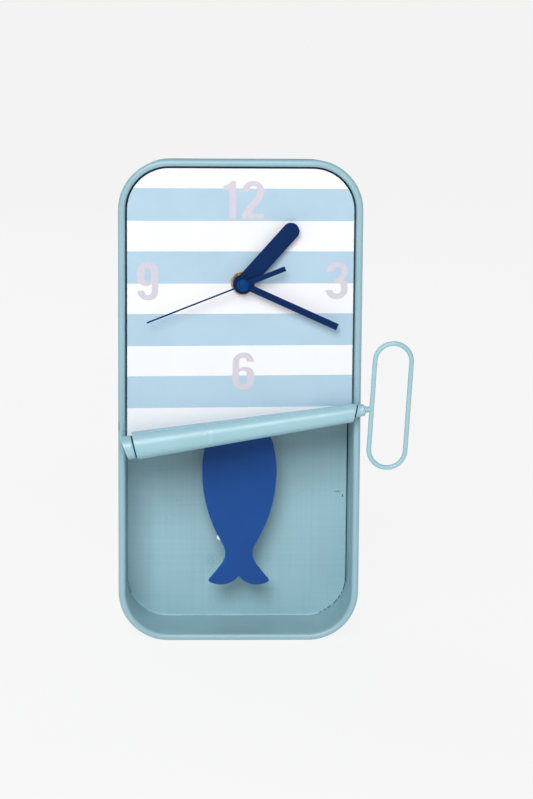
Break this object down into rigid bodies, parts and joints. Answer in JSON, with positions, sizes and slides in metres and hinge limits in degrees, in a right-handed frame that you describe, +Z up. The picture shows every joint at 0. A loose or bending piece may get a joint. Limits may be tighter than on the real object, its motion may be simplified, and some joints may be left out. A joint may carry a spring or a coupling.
{
  "type": "pendulum wall clock",
  "caption": "Sheet-metal wall clock shaped like an opened sardine tin: striped dial, rolled lid with a wire key, and a fish-shaped pendulum in the open tray.",
  "frame": {"origin": "centre of the nail hole, on the rear face of the back plate", "axes": "+X to the right and +Z up as the clock hangs, +Y into the wall"},
  "size_m": [0.1869, 0.0668, 0.31],
  "materials": {
    "teal_paint": "satin",
    "dial_print": "satin",
    "navy_paint": "satin",
    "blue_cap": "gloss",
    "brass": "machined",
    "fish_blue": "satin",
    "zinc_steel": "zinc plated",
    "black_rubber": "matte",
    "black_plastic": "matte",
    "battery_wrap": "gloss",
    "nickel_steel": "nickel plated",
    "board_green": "satin",
    "copper_winding": "enamelled",
    "white_plastic": "satin",
    "magnet_nickel": "plated"
  },
  "bodies": {
    "case": {"case_wall": "teal_paint", "back_plate": "teal_paint", "dial_plate": "dial_print", "dial_posts": "zinc_steel", "back_screws": "zinc_steel", "rolled_lid": "teal_paint", "lid_core": "teal_paint", "lid_saddles": "teal_paint", "brass_washer": "brass", "brass_nut": "brass", "mounting_gasket": "black_rubber", "threaded_neck": "brass", "movement_case": "black_plastic", "movement_cover": "black_plastic", "battery": "battery_wrap", "battery_contacts": "nickel_steel", "circuit_board": "board_green", "stepper_coil": "copper_winding", "coil_core": "zinc_steel", "stator": "zinc_steel", "train_pins": "nickel_steel", "pendulum_coil": "copper_winding", "pivot_pin": "nickel_steel"},
    "key": {"key": "teal_paint"},
    "pendulum": {"swing_arm": "white_plastic", "arm_magnet": "magnet_nickel", "pendulum_rod": "brass", "fish": "fish_blue"},
    "second": {"second_wheel": "white_plastic", "second_hand": "navy_paint", "second_hand_cap": "blue_cap"},
    "third": {"third_wheel": "white_plastic"},
    "centre": {"centre_wheel": "white_plastic"},
    "intermediate": {"intermediate_wheel": "white_plastic"},
    "rotor": {"rotor": "white_plastic"},
    "minute": {"minute_pipe": "brass", "minute_hand": "navy_paint"},
    "motion": {"motion_wheel": "white_plastic"},
    "hour": {"hour_wheel": "white_plastic", "hour_hand": "navy_paint"},
    "knob": {"setting_knob": "white_plastic"}
  },
  "joints": [
    {"name": "pendulum_swing", "type": "hinge", "parent": "case", "child": "pendulum", "pos_m": [0.0007, -0.0228, -0.094], "axis": [0, 1, 0], "range_deg": [-8, 8]},
    {"name": "key_turn", "type": "hinge", "parent": "case", "child": "key", "pos_m": [0.07902, -0.05365, -0.13158], "axis": [-0.9873, -0.0231, -0.1573], "range_deg": [-40, 180]},
    {"name": "second_turn", "type": "hinge", "parent": "case", "child": "second", "pos_m": [0.0015, -0.0358, -0.052], "axis": [0, 1, 0], "continuous": true},
    {"name": "third_turn", "type": "hinge", "parent": "case", "child": "third", "pos_m": [0.0123, -0.0358, -0.052], "axis": [0, 1, 0], "continuous": true},
    {"name": "centre_turn", "type": "hinge", "parent": "case", "child": "centre", "pos_m": [0.0015, -0.0358, -0.052], "axis": [0, 1, 0], "continuous": true},
    {"name": "intermediate_turn", "type": "hinge", "parent": "case", "child": "intermediate", "pos_m": [-0.00785, -0.0358, -0.0466], "axis": [0, 1, 0], "continuous": true},
    {"name": "rotor_turn", "type": "hinge", "parent": "case", "child": "rotor", "pos_m": [-0.01625, -0.0358, -0.0466], "axis": [0, 1, 0], "continuous": true},
    {"name": "minute_turn", "type": "hinge", "parent": "case", "child": "minute", "pos_m": [0.0015, -0.0358, -0.052], "axis": [0, 1, 0], "continuous": true},
    {"name": "motion_turn", "type": "hinge", "parent": "case", "child": "motion", "pos_m": [0.0015, -0.0358, -0.0604], "axis": [0, 1, 0], "continuous": true},
    {"name": "hour_turn", "type": "hinge", "parent": "case", "child": "hour", "pos_m": [0.0015, -0.0358, -0.052], "axis": [0, 1, 0], "continuous": true},
    {"name": "knob_turn", "type": "hinge", "parent": "case", "child": "knob", "pos_m": [-0.00444, -0.0358, -0.06634], "axis": [0, 1, 0], "continuous": true}
  ],
  "couplings": [
    {"joint": "third_turn", "follows": "second_turn", "ratio": -0.125},
    {"joint": "centre_turn", "follows": "second_turn", "ratio": 0.016667},
    {"joint": "intermediate_turn", "follows": "second_turn", "ratio": -5},
    {"joint": "rotor_turn", "follows": "second_turn", "ratio": 30},
    {"joint": "motion_turn", "follows": "minute_turn", "ratio": -0.33333},
    {"joint": "hour_turn", "follows": "minute_turn", "ratio": 0.083333},
    {"joint": "knob_turn", "follows": "minute_turn", "ratio": 1}
  ]
}
